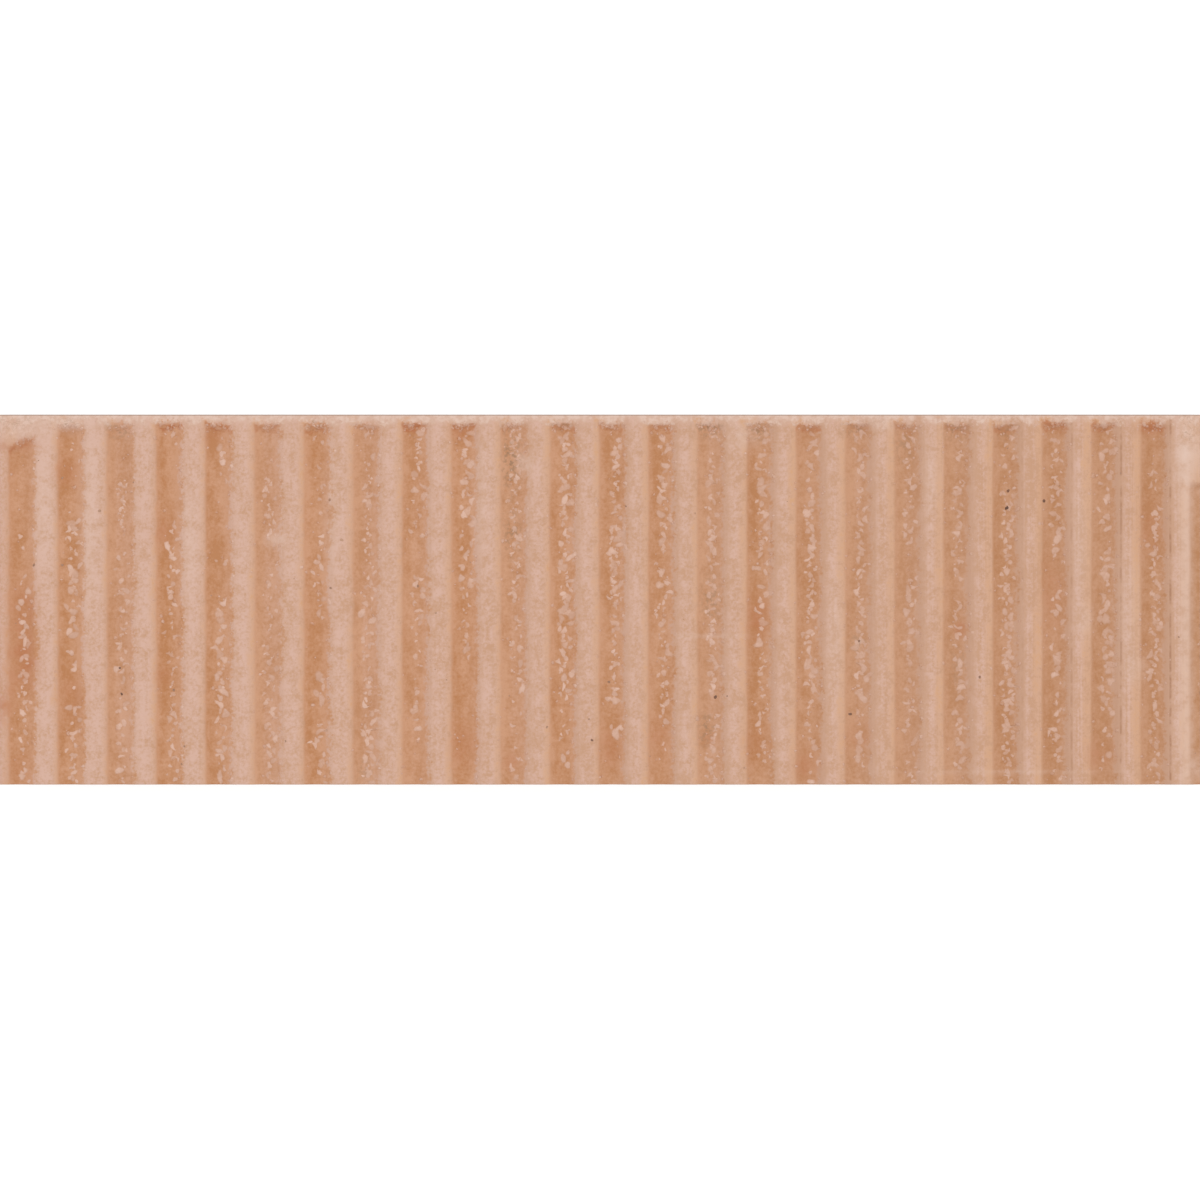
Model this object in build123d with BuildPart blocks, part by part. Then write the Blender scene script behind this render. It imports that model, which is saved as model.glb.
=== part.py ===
"""Fluted matt ceramic wall tile, pressed and fired in one piece.

The tile lies face up on its back. X runs along the long side, Y along the flutes towards
the rimmed long edge, and Z up. The origin is under the middle of the back. All sizes are in mm.
"""

from build123d import *
import os
from math import asin, cos, degrees, radians, sin, tan

# Overall body
tile_length = 200.0
tile_width = 61.6
tile_thickness = 10.0  # bed to ridge tops
rim_arris_radius = 0.5  # rounding where the face turns into the rimmed side
back_bevel = 0.5  # pressed bevel round the bed

# Flutes of the face: shallow concave grooves with rounded shoulders between flat ridges
flute_pitch = 8.21
first_groove_inset = 3.42  # left short side to the middle of the first groove
groove_width = 5.6  # across the shoulders, at the ridge tops
groove_depth = 1.0
shoulder_radius = 1.1
rim_width = 1.5  # flat rim beyond the grooves' ends
end_wall_slope = 40.0  # degrees from level, of the wall that closes each groove at the rim
first_groove_land = 4.3  # flat corner beyond the first groove's end, at its middle
first_groove_slant = 25.0  # degrees by which the first groove's end is turned from square
cut_groove_land = 11.3  # flat corner beyond the end of a groove that the right short side cuts

# Key on the back: a lattice of low ribs round shallow pressed cells
key_columns = 13
key_rows = 4
key_rib = 3.0
key_border = 5.0
key_depth = 0.8
key_draft = 25.0  # degrees

# Length by which a cutter runs past the surface that it opens
overrun = 2.0

# Groove section: the sum of the two radii follows from the width and depth, because the
# shoulders leave the ridge tops level and meet the hollow without a step.
half_width = groove_width / 2
radius_sum = (half_width**2 + groove_depth**2) / (2 * groove_depth)
hollow_radius = radius_sum - shoulder_radius
flank_angle = degrees(asin(half_width / radius_sum))

# Middles of the grooves, from the tile's middle, up to one that the right short side may cut
groove_count = int((tile_length - first_groove_inset + half_width) // flute_pitch) + 1
first_middle = first_groove_inset - tile_length / 2
groove_middles = [first_middle + i * flute_pitch for i in range(groove_count)]
whole_middles = [x for x in groove_middles[1:] if x + half_width <= tile_length / 2]
cut_middles = [x for x in groove_middles[1:] if x + half_width > tile_length / 2]

# Cells of the back's lattice
cell_length = (tile_length - 2 * key_border - (key_columns - 1) * key_rib) / key_columns
cell_width = (tile_width - 2 * key_border - (key_rows - 1) * key_rib) / key_rows


def groove_cutter(land, slant=0.0):
    """The hollow of one groove at x = 0.

    It runs from past the cut edge to a sloping end wall, which meets the ridge tops the land
    short of the rimmed edge and is turned from square by the slant.
    """
    with BuildPart() as cutter:
        with BuildSketch(Plane.XZ.offset(tile_width / 2 + overrun)):
            with BuildLine():
                left = JernArc((-half_width, tile_thickness), (1, 0), shoulder_radius, -flank_angle)
                hollow = JernArc(left @ 1, left % 1, hollow_radius, 2 * flank_angle)
                right = JernArc(hollow @ 1, hollow % 1, shoulder_radius, -flank_angle)
                Polyline(
                    right @ 1,
                    (half_width, tile_thickness + overrun),
                    (-half_width, tile_thickness + overrun),
                    left @ 0,
                )
            make_face()
        extrude(amount=-(tile_width + 2 * overrun))
        turn = radians(slant)
        end_wall = Plane(
            origin=(0, tile_width / 2 - land, tile_thickness),
            z_dir=(-sin(turn), cos(turn), -1 / tan(radians(end_wall_slope))),
        )
        split(bisect_by=end_wall, keep=Keep.BOTTOM)
    return cutter.part


first_groove = groove_cutter(first_groove_land, first_groove_slant)
whole_groove = groove_cutter(rim_width)
cut_groove = groove_cutter(cut_groove_land)

with BuildPart() as tile:
    # Pressed blank: square edges, with a rounded arris along the rim and a bevel round the bed
    with BuildSketch():
        Rectangle(tile_length, tile_width)
    extrude(amount=tile_thickness)
    face_edges = tile.edges().group_by(Axis.Z)[-1]
    fillet(face_edges.sort_by(Axis.Y)[-1], rim_arris_radius)
    chamfer(tile.edges().group_by(Axis.Z)[0], back_bevel)

    # Keyed back
    with BuildSketch():
        with GridLocations(cell_length + key_rib, cell_width + key_rib, key_columns, key_rows):
            Rectangle(cell_length, cell_width)
    extrude(amount=key_depth, taper=key_draft, mode=Mode.SUBTRACT)

    # Fluted face
    with Locations((first_middle, 0, 0)):
        add(first_groove, mode=Mode.SUBTRACT)
    with Locations(*[(x, 0, 0) for x in whole_middles]):
        add(whole_groove, mode=Mode.SUBTRACT)
    if cut_middles:
        with Locations(*[(x, 0, 0) for x in cut_middles]):
            add(cut_groove, mode=Mode.SUBTRACT)

tile.part.label = "tile"
os.makedirs("parts", exist_ok=True)
export_step(tile.part, "parts/tile.step")
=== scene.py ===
"""Fluted matt ceramic tile: glazed body, slip flecks and crumbs, and iron specks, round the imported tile.

All lengths are in metres, in the tile's own frame. X runs along the long side, Y along the
flutes towards the rimmed edge, and Z up from the bed.
"""

from typing import NamedTuple

import bpy
import numpy as np
from bpy.props import FloatProperty, FloatVectorProperty, IntProperty, PointerProperty
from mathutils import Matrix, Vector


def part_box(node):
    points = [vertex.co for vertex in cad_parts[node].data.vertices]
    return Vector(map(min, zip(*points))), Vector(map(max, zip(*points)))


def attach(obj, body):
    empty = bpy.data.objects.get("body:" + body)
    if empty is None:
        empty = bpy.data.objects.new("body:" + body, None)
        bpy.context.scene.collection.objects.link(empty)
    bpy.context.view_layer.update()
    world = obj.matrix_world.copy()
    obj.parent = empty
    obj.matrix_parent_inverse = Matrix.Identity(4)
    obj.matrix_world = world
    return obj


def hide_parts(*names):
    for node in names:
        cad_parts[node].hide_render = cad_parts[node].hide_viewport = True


bl_info = {
    "name": "Fluted Matt Tile",
    "version": (1, 0, 0),
    "blender": (4, 5, 0),
    "location": "View3D > Sidebar > Tile",
    "description": "Builds a fluted matt ceramic tile with its slip flecks and iron specks",
    "category": "Object",
}

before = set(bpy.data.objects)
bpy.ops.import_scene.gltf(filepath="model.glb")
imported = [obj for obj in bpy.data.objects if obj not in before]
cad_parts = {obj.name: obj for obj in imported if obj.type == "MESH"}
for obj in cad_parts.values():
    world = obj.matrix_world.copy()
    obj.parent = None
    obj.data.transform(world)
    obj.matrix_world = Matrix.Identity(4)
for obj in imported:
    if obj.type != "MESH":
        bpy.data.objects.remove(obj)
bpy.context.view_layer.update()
tile_low, tile_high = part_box("tile")

MM = 0.001
LENGTH = tile_high.x - tile_low.x
WIDTH = tile_high.y - tile_low.y
TOP = tile_high.z
LEFT = tile_low.x
RIGHT = tile_high.x
CUT_EDGE = tile_low.y
RIM_EDGE = tile_high.y
BODY = "root"
GLAZE_NAME = "matt_glaze"

# The photo's frame: the tile's length fills its width, and rows count down from the rimmed edge
PHOTO_SIZE = 1200
PHOTO_RIM_ROW = 414.8
PIXEL = LENGTH / PHOTO_SIZE

# Grid of the tile's skin. A back line meets a whole number of face lines.
FACE_COLUMNS_PER_BACK_COLUMN = 4
FACE_ROWS_PER_BACK_ROW = 5
SIDE_RINGS = 9
SHARP_ANGLE = np.radians(50.0)

# Weight of Y beside X where one noise runs round all four sides
SIDE_SKEW = 1.7

# Outline of a blob: each pair is the number of waves round it and their usual depth
OUTLINE_WAVES = ((2, 0.14), (3, 0.14), (5, 0.08))
OUTLINE_LIMITS = (0.5, 1.6)
FLECK_POINTS_AROUND = 14
CRUMB_POINTS_AROUND = 7

# Section of a blob, in shares of its reach and height, and the slip's cover on its shoulder
SHOULDER_REACH = 0.58
SHOULDER_HEIGHT = 0.85
SHOULDER_COVER = 0.9
EDGE_DEPTH = 0.25
ROOT_DEPTH = 0.7

# Share of the room left below the tile's top that a blob may rise through
MOST_ROOM = 0.95

# Slip: the two powers of the beta draw of its tones, and the most that the glaze veils of it
FLECK_TONES = (1.2, 1.9)
CRUMB_TONES = (1.2, 2.4)
FLECK_VEIL = 0.35
CRUMB_VEIL = 0.7

# Stage: half the side of the square floor, and the side and place of the square lamp
FLOOR_HALF = 2.5
LAMP_SIDE = 1.6
LAMP_PLACE = (0.5, 1.2, 2.6)

# Ends of a ramp that falls from one to nothing
FALLING = (1.0, 0.0)

# How strongly the colour band of each groove shows, from the left
GROOVE_TONES = (
    0.95, 1.0, 0.75, 1.0, 0.95, 0.68, 1.0, 0.72, 0.9, 1.0, 0.8, 0.97, 0.95,
    1.0, 0.75, 1.0, 0.95, 0.8, 0.72, 0.8, 0.95, 0.95, 0.9, 0.95, 1.0,
)

# How strongly iron has stained the end of each groove, from the left
END_STAINS = (
    0.6, 0.15, 0.1, 1.0, 0.8, 0.5, 0.55, 0.2, 1.0, 0.85, 0.2, 0.5, 0.5,
    0.85, 0.25, 0.1, 0.6, 0.2, 0.45, 0.35, 0.5, 0.75, 0.6, 1.0, 0.0,
)

# Stretches of slip flecks down each groove, from the left: first and last pixel row, flecks in
# a centimetre of groove, and their size beside the usual one
FLECK_RUNS = (
    ((535, 550, 7, 1.0), (575, 620, 10, 0.9), (620, 705, 14, 1.0), (705, 784, 11, 0.85)),
    ((436, 480, 7, 0.6), (520, 640, 13, 1.1), (645, 690, 6, 0.8), (705, 784, 15, 1.0)),
    ((480, 528, 26, 0.65), (550, 640, 11, 0.9), (645, 685, 14, 1.1), (695, 784, 9, 1.0)),
    ((433, 452, 8, 0.9), (525, 640, 12, 0.95), (650, 784, 12, 0.95)),
    ((437, 485, 9, 0.9), (558, 566, 6, 1.0), (600, 784, 12, 1.1)),
    ((480, 545, 18, 0.7), (560, 640, 11, 0.75), (645, 784, 13, 0.85)),
    (
        (425, 447, 12, 0.8), (460, 520, 6, 0.8), (535, 620, 11, 0.8), (672, 704, 10, 1.5),
        (722, 784, 10, 0.95),
    ),
    ((426, 440, 18, 0.8), (455, 610, 15, 0.8), (612, 670, 12, 1.0), (675, 784, 15, 0.9)),
    ((430, 540, 13, 0.95), (578, 635, 15, 0.85), (638, 742, 8, 0.95)),
    ((430, 525, 12, 1.05), (535, 658, 13, 0.95)),
    ((424, 480, 24, 0.7), (480, 605, 15, 0.9), (615, 690, 11, 1.05), (700, 784, 6, 0.8)),
    ((422, 530, 16, 1.05), (535, 700, 16, 1.1), (705, 770, 8, 1.05)),
    ((435, 520, 13, 1.0), (525, 607, 24, 1.05), (615, 705, 14, 1.05), (722, 742, 8, 1.2)),
    ((436, 555, 12, 1.05), (563, 725, 13, 1.0), (742, 752, 6, 0.7)),
    (
        (422, 442, 24, 0.7), (452, 590, 11, 1.05), (592, 650, 20, 0.85), (655, 695, 12, 1.2),
        (715, 784, 16, 0.85),
    ),
    ((426, 442, 20, 0.8), (448, 575, 12, 1.1), (585, 645, 11, 1.2), (650, 765, 12, 0.8)),
    ((432, 482, 11, 0.9), (500, 645, 16, 1.0), (648, 690, 14, 1.1), (696, 784, 8, 0.95)),
    ((422, 440, 18, 0.8), (446, 600, 12, 0.9), (602, 700, 15, 1.05), (708, 770, 11, 1.1)),
    ((422, 545, 12, 0.9), (572, 665, 9, 1.1), (675, 784, 10, 0.9)),
    ((422, 460, 10, 0.8), (478, 582, 14, 1.0), (605, 700, 12, 1.0), (712, 770, 14, 1.0)),
    ((424, 485, 12, 0.8), (490, 640, 18, 0.9), (640, 740, 20, 0.95), (742, 784, 20, 0.75)),
    ((430, 520, 12, 1.0), (522, 565, 12, 1.2), (590, 685, 9, 1.15), (690, 780, 10, 0.85)),
    ((424, 530, 11, 1.1), (548, 620, 10, 1.25), (630, 715, 13, 1.05), (725, 772, 9, 0.9)),
    ((472, 492, 12, 0.8), (508, 715, 17, 0.9), (718, 784, 15, 0.9)),
    ((600, 740, 4, 0.6),),
)

# Stains of the face: pixel column and row, half-width and half-length in pixels, and strength
RUST_STAINS = (
    (24, 662, 13, 26, 0.95), (24, 610, 12, 24, 0.8), (67, 472, 11, 12, 0.6), (72, 700, 12, 24, 0.4),
    (165, 532, 10, 14, 0.5), (163, 676, 8, 10, 0.5), (212, 437, 9, 8, 0.5), (463, 745, 12, 20, 0.55),
    (512, 762, 9, 9, 0.4), (611, 748, 11, 18, 0.5), (758, 618, 9, 20, 0.9), (709, 738, 6, 6, 0.6),
    (755, 745, 12, 16, 0.35), (960, 630, 5, 7, 1.3), (1152, 428, 13, 7, 0.7), (1053, 590, 12, 40, 0.35),
    (1150, 530, 12, 26, 0.35), (806, 768, 14, 16, 0.5), (858, 735, 12, 14, 0.4), (659, 738, 10, 20, 0.4),
    (463, 434, 12, 9, 0.5), (1098, 755, 12, 14, 0.4), (18, 770, 14, 16, 0.35), (26, 446, 12, 5, 0.5),
    (3, 447, 8, 4, 0.5), (2, 600, 9, 260, 0.2), (4, 702, 9, 20, 0.55),
)
GRIME_STAINS = (
    (511, 458, 9, 30, 0.9), (513, 535, 8, 22, 0.75), (709, 428, 12, 9, 0.9), (711, 600, 10, 22, 0.55),
    (706, 728, 8, 16, 0.7), (759, 432, 12, 9, 0.6), (858, 642, 6, 8, 0.8), (853, 428, 12, 8, 0.6),
    (955, 430, 12, 12, 0.5), (905, 445, 10, 18, 0.45), (120, 431, 14, 8, 0.5), (560, 424, 10, 6, 0.7),
    (1005, 430, 12, 10, 0.4), (958, 665, 8, 24, 0.35), (365, 770, 9, 12, 0.35), (318, 424, 10, 5, 0.6),
)
# The long strip at column 1185 down the last ridge is paler glaze with a painted highlight; the others are
# pale smears
PALE_STAINS_AND_HIGHLIGHT = (
    (523, 463, 8, 10, 0.6), (1185, 600, 7, 900, 0.55), (12, 426, 32, 13, 0.7), (1199, 446, 12, 32, 0.5),
    (744, 436, 16, 12, 0.5), (276, 540, 9, 7, 0.6), (330, 520, 8, 60, 0.25), (835, 640, 7, 60, 0.3),
    (90, 520, 9, 90, 0.3), (45, 500, 9, 60, 0.3), (190, 545, 9, 50, 0.3), (880, 424, 14, 8, 0.6),
    (1128, 610, 10, 60, 0.25), (1080, 540, 8, 60, 0.25), (480, 500, 9, 60, 0.2), (930, 480, 8, 40, 0.25),
    (1084, 620, 9, 14, 0.35), (1136, 668, 10, 12, 0.35), (710, 636, 36, 2, 0.35), (70, 424, 16, 8, 0.85),
    (1180, 455, 10, 34, 0.35), (1197, 768, 7, 12, 0.4), (1000, 772, 110, 2, 0.25),
)

# Iron specks that stand out: pixel column and row, radius in pixels, and how faint they are
IRON_SPECKS = (
    (100.3, 511, 2.2, 0.7), (120, 668, 1.5, 0.1), (122, 694, 1.6, 0.1), (185, 746, 1.4, 0.5),
    (182, 764, 1.2, 0.6), (286, 741, 1.4, 0.6), (330, 500, 1.5, 0.6), (331, 588, 1.4, 0.5),
    (342, 540, 2.6, 0.85), (34.5, 565, 1.6, 0.5), (62.7, 565, 1.6, 0.6), (62.7, 478, 1.4, 0.7),
    (418, 586, 1.6, 0.5), (436, 613, 1.5, 0.7), (592, 740, 1.7, 0.2), (589, 719, 1.2, 0.6),
    (547, 727, 1.4, 0.6), (609, 682, 1.6, 0.4), (715.3, 697, 2.0, 0.1), (727, 696, 1.2, 0.4),
    (850, 714, 1.9, 0.2), (859, 641, 1.7, 0.3), (979.3, 677, 1.8, 0.3), (1006.6, 508, 2.3, 0.0),
    (1007.9, 491, 1.8, 0.1), (1043.6, 501, 1.9, 0.1), (1178, 637, 1.4, 0.6), (174, 690, 1.6, 0.5),
)

# Fine specks strewn at random: their count, and the least and greatest of each draw
FINE_SPECKS = 40
FINE_SPECK_ROWS = (430, 780)
FINE_SPECK_RADII = (0.5, 1.0)
FINE_SPECK_FAINTNESS = (0.5, 0.9)

# Pixel columns between which the lips of the ridges come to show a scored line
SCORED_COLUMNS = (960, 1190)


def srgb(red, green, blue):
    """Linear colour of three display values from 0 to 255."""
    shown = np.array((red, green, blue)) / 255
    return tuple(np.where(shown <= 0.04045, shown / 12.92, ((shown + 0.055) / 1.055) ** 2.4))


def colour_property(name, description, display):
    """A colour that the panel shows, given by its display values."""
    shades = {"subtype": "COLOR", "size": 3, "min": 0.0, "max": 1.0, "default": srgb(*display)}
    return FloatVectorProperty(name=name, description=description, **shades)


def length_property(name, description, millimetres):
    """A length that the panel shows, given in millimetres."""
    size = {"unit": "LENGTH", "precision": 5, "default": millimetres * MM}
    return FloatProperty(name=name, description=description, **size)


def angle_property(name, description, degrees):
    """An angle that the panel shows, given in degrees."""
    return FloatProperty(name=name, description=description, subtype="ANGLE", default=np.radians(degrees))


class FluteSettings(bpy.types.PropertyGroup):
    """Relief of the face and edges."""

    pitch: length_property("Pitch", "Middle of one groove to the middle of the next", 8.21)
    first_inset: length_property("First groove", "Left short side to the middle of the first groove", 3.42)
    groove_width: length_property("Groove width", "Across the shoulders, at the ridge tops", 5.6)
    groove_depth: length_property("Groove depth", "Ridge tops to the groove floor", 1.0)
    shoulder_radius: length_property("Shoulder", "Radius of the rounded shoulders", 1.1)
    rim_width: length_property("Rim", "Flat rim beyond the grooves' ends", 1.5)
    end_slope: angle_property("End slope", "Angle from level of the wall that closes each groove", 40.0)
    first_land: length_property("First land", "Flat corner past the first groove's end, at its middle", 4.3)
    first_slant: angle_property("First slant", "Turn of the first groove's end from square", 25.0)
    cut_land: length_property("Cut land", "Flat corner beyond the groove that the right side cuts", 11.3)
    rim_arris: length_property("Rim arris", "Rounding of the face into the rimmed side", 0.5)
    edge_wear: length_property("Edge wear", "Rounding of the three crisp edges", 0.12)
    pressing: length_property("Pressing", "Depth of the uneven pressing of the face", 0.05)


class BackSettings(bpy.types.PropertyGroup):
    """Key lattice pressed into the back."""

    columns: IntProperty(name="Columns", description="Cells along the tile", default=13, min=1)
    rows: IntProperty(name="Rows", description="Cells across the tile", default=4, min=1)
    rib: length_property("Rib", "Rib between two cells", 3.0)
    border: length_property("Border", "Plain border round the lattice", 5.0)
    depth: length_property("Depth", "Depth of the cells", 0.8)
    bevel: length_property("Bevel", "Bevel round the bed", 0.5)


class SlipSettings(bpy.types.PropertyGroup):
    """Flecks and crumbs of slip that lie in the grooves."""

    length: length_property("Length", "Usual length of a fleck", 1.4)
    width: length_property("Width", "Usual width of a fleck", 0.9)
    height: length_property("Height", "Usual height of a fleck above the floor", 0.05)
    spread: length_property("Spread", "Usual distance of a fleck from the groove's middle", 0.5)
    crowding: FloatProperty(name="Crowding", description="Flecks for each one listed", default=0.9, min=0.0)
    branches: FloatProperty(
        name="Branches", description="Share of flecks with a side branch", subtype="FACTOR", default=0.4
    )
    crumb: length_property("Crumb", "Usual size of a crumb", 0.42)
    crumbs: IntProperty(name="Crumbs", description="Crumbs for each groove", default=90, min=0)
    seed: IntProperty(name="Seed", description="Start of the random draws", default=47)


class ColourSettings(bpy.types.PropertyGroup):
    """Colours of the fired glaze, slip, stains and body."""

    ridge_pink: colour_property("Ridge, pink", "Thin pale glaze of the ridges", (217, 178, 160))
    ridge_tan: colour_property("Ridge, tan", "Warm glaze of the ridges", (202, 157, 127))
    # Lip, dull: also mixed in as painted shade on the ridges' left shoulders
    lip_dull: colour_property("Lip, dull", "Left lip of the ridges", (201, 158, 131))
    lip_golden: colour_property("Lip, golden", "Right lip of the ridges", (213, 165, 129))
    hollow: colour_property("Hollow", "Cloudy glaze in the grooves", (208, 157, 124))
    hollow_deep: colour_property("Hollow, deep", "Thickest glaze in the grooves", (189, 131, 88))
    rim: colour_property("Rim", "Pale glaze on the rim", (227, 197, 181))
    # Arris: painted shade on the rounding of the rimmed edge
    arris: colour_property("Arris", "Dull line along the rimmed edge", (150, 122, 108))
    rust: colour_property("Rust", "Iron stain", (187, 119, 80))
    grime: colour_property("Grime", "Grey pits and dirt", (158, 124, 96))
    score: colour_property("Score", "Thin lines along the lips", (170, 122, 92))
    slip: colour_property("Slip", "Dull flecks", (207, 166, 144))
    slip_bright: colour_property("Slip, bright", "Pale flecks", (228, 192, 174))
    speck: colour_property("Speck", "Iron specks", (98, 68, 52))
    biscuit: colour_property("Biscuit", "Bare fired body", (206, 158, 128))
    biscuit_dark: colour_property("Biscuit, dark", "Darker grains of the bare body", (178, 126, 96))


class StageSettings(bpy.types.PropertyGroup):
    """Camera and soft studio light."""

    lens: FloatProperty(name="Lens", description="Focal length in millimetres", default=250.0, min=1.0)
    lamp: FloatProperty(name="Lamp", description="Power of the soft lamp in watts", default=13.0, min=0.0)
    sky: FloatProperty(name="Sky", description="Strength of the even light", default=0.87, min=0.0)
    floor: FloatProperty(name="Floor", description="Share of light that the floor returns", default=0.5)
    floor_glow: FloatProperty(
        name="Floor glow", description="White that the camera adds to the floor", default=0.72
    )


class TileSettings(bpy.types.PropertyGroup):
    """Everything that the panel shows."""

    flute: PointerProperty(type=FluteSettings)
    back: PointerProperty(type=BackSettings)
    slip: PointerProperty(type=SlipSettings)
    colours: PointerProperty(type=ColourSettings)
    stage: PointerProperty(type=StageSettings)


def on_tile(column, row):
    """Place on the face of a pixel of the photo."""
    return LEFT + np.asarray(column) * PIXEL, RIM_EDGE - (np.asarray(row) - PHOTO_RIM_ROW) * PIXEL


def ease(share):
    """Smooth step: 0 below 0, 1 above 1, and three squares less two cubes between."""
    held = np.clip(share, 0.0, 1.0)
    return held * held * (3.0 - 2.0 * held)


def bell(distance, width):
    """1 at no distance, falling off over the width."""
    return np.exp(-((distance / width) ** 2))


def soft_noise(x, y, cell, seed):
    """Random heights from -1 to 1 on a square lattice of that cell, eased from corner to corner."""
    size = 256
    lattice = np.random.default_rng(seed).uniform(-1.0, 1.0, (size, size))
    across, along = x / cell, y / cell
    column, row = np.floor(across).astype(int), np.floor(along).astype(int)
    right_share, upper_share = ease(across - column), ease(along - row)
    left, right = column % size, (column + 1) % size
    low, high = row % size, (row + 1) % size
    lower = lattice[left, low] * (1.0 - right_share) + lattice[right, low] * right_share
    upper = lattice[left, high] * (1.0 - right_share) + lattice[right, high] * right_share
    return lower * (1.0 - upper_share) + upper * upper_share


def groove_count(x, y, flute):
    """Grooves counted from the first one's middle: a number that grows along the tile, whole on each
    groove's middle, with a slight wander along the grooves."""
    wander = 0.07 * MM * soft_noise(x, y, cell=7.0 * MM, seed=11)
    return (x - LEFT - flute.first_inset + wander) / flute.pitch


def nearest_groove(x, y, flute):
    """Number of the nearest groove, and the distance right of its middle."""
    counted = groove_count(x, y, flute)
    groove = np.clip(np.round(counted), 0, len(GROOVE_TONES) - 1)
    return groove.astype(int), (counted - groove) * flute.pitch


def groove_run(x, y, flute):
    """Distance below the end of the nearest groove, square to that end, which is crumbly and uneven.
    The first groove has a slanted end, and the groove that the right side cuts a deep land."""
    groove, offset = nearest_groove(x, y, flute)
    uneven = 0.26 * MM * soft_noise(x, y, cell=1.1 * MM, seed=12)
    uneven += 0.22 * MM * soft_noise(x, y, cell=3.5 * MM, seed=13)
    level = RIM_EDGE - y
    slanted = (level - flute.first_land) * np.cos(flute.first_slant) + offset * np.sin(flute.first_slant)
    run = np.where(groove == 0, slanted, level - flute.rim_width)
    run = np.where(groove == len(GROOVE_TONES) - 1, level - flute.cut_land, run)
    return run + uneven


def groove_section(offset, flute):
    """Depth across one groove: two convex shoulder arcs leave the ridges level and run without a
    step into one concave hollow arc."""
    half = flute.groove_width / 2
    radius_sum = (half**2 + flute.groove_depth**2) / (2 * flute.groove_depth)
    hollow_radius = radius_sum - flute.shoulder_radius
    meeting = half * hollow_radius / radius_sum
    away = np.minimum(np.abs(offset), half)
    on_shoulder = half - np.maximum(away, meeting)
    shoulder = flute.shoulder_radius - np.sqrt(flute.shoulder_radius**2 - on_shoulder**2)
    hollow = flute.groove_depth - hollow_radius + np.sqrt(hollow_radius**2 - np.minimum(away, meeting) ** 2)
    return np.where(away < meeting, hollow, shoulder)


def smooth_least(first, second, blend):
    """The lesser of two depths, eased where they come within the blend of each other."""
    share = np.clip(0.5 + 0.5 * (second - first) / blend, 0.0, 1.0)
    return second * (1.0 - share) + first * share - blend * share * (1.0 - share)


def quarter_round(inset, radius):
    """Fall of a rounded edge: none a radius in from the edge, and the whole radius at the edge."""
    reach = np.clip(radius - inset, 0.0, radius)
    return radius - np.sqrt(radius**2 - reach**2)


def uneven_pressing(x, y, flute):
    """Fall from 0 to about the pressing's depth: broad, middling and small swells added up."""
    broad = soft_noise(x, y, cell=11.0 * MM, seed=21)
    middling = soft_noise(x, y, cell=2.6 * MM, seed=22)
    small = soft_noise(x, y, cell=0.8 * MM, seed=23)
    return flute.pressing * (1.0 + 0.5 * broad + 0.3 * middling + 0.2 * small) / 2


def face_height(x, y, flute):
    """Height of the face: the ridge tops less the groove, as far as its end wall leaves it open, or
    less the rim's rounding where that falls further, less the worn edges and the uneven pressing."""
    end_blend = 0.25 * MM
    _, offset = nearest_groove(x, y, flute)
    below_end = np.maximum(groove_run(x, y, flute), 0.0) * np.tan(flute.end_slope)
    groove_fall = smooth_least(groove_section(offset, flute), below_end, end_blend)
    fall = np.maximum(np.maximum(groove_fall, 0.0), quarter_round(RIM_EDGE - y, flute.rim_arris))
    inset = np.minimum(np.minimum(x - LEFT, RIGHT - x), y - CUT_EDGE)
    return TOP - fall - quarter_round(inset, flute.edge_wear) - uneven_pressing(x, y, flute)


def stain_strength(x, y, stains):
    """Sum of the stains, each a bell that falls off over its half-width across and half-length along."""
    total = np.zeros_like(x)
    for column, row, half_width, half_length, strength in stains:
        middle_x, middle_y = on_tile(column, row)
        total += strength * bell(x - middle_x, half_width * PIXEL) * bell(y - middle_y, half_length * PIXEL)
    return np.clip(total, 0.0, 1.0)


def packed_lines(start, end, steps, crowding):
    """Grid lines from start to end, closer together where the crowding is greater: equal steps of the
    crowding's running sum, read back as places."""
    samples_per_step = 40
    places = np.linspace(start, end, samples_per_step * steps + 1)
    weight = crowding(places)
    passed = np.concatenate(([0.0], np.cumsum((weight[1:] + weight[:-1]) / 2)))
    return np.interp(np.linspace(0.0, passed[-1], steps + 1), passed, places)


def face_points(columns, rows, flute):
    """Grid of face points, rows by columns, crowded on the flanks, the groove ends and the edges."""
    flank_place = 0.42 * flute.groove_width
    flank_reach, end_reach, edge_reach = 0.6 * MM, 1.1 * MM, 0.4 * MM

    def column_crowding(x):
        _, offset = nearest_groove(x, x * 0.0, flute)
        flank = bell(np.abs(offset) - flank_place, flank_reach)
        side = bell(np.minimum(x - LEFT, RIGHT - x), edge_reach)
        return 1.0 + 0.7 * flank + 3.5 * side

    def row_crowding(y):
        groove_end = bell(RIM_EDGE - flute.rim_width - y, end_reach)
        rim = bell(RIM_EDGE - y, flute.rim_arris)
        cut = bell(y - CUT_EDGE, edge_reach)
        return 1.0 + 1.4 * groove_end + 4.0 * rim + 3.0 * cut

    x_lines = packed_lines(LEFT, RIGHT, columns, column_crowding)
    y_lines = packed_lines(CUT_EDGE, RIM_EDGE, rows, row_crowding)
    x, y = np.meshgrid(x_lines, y_lines)
    return np.stack((x, y, face_height(x, y, flute)), axis=-1)


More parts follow.
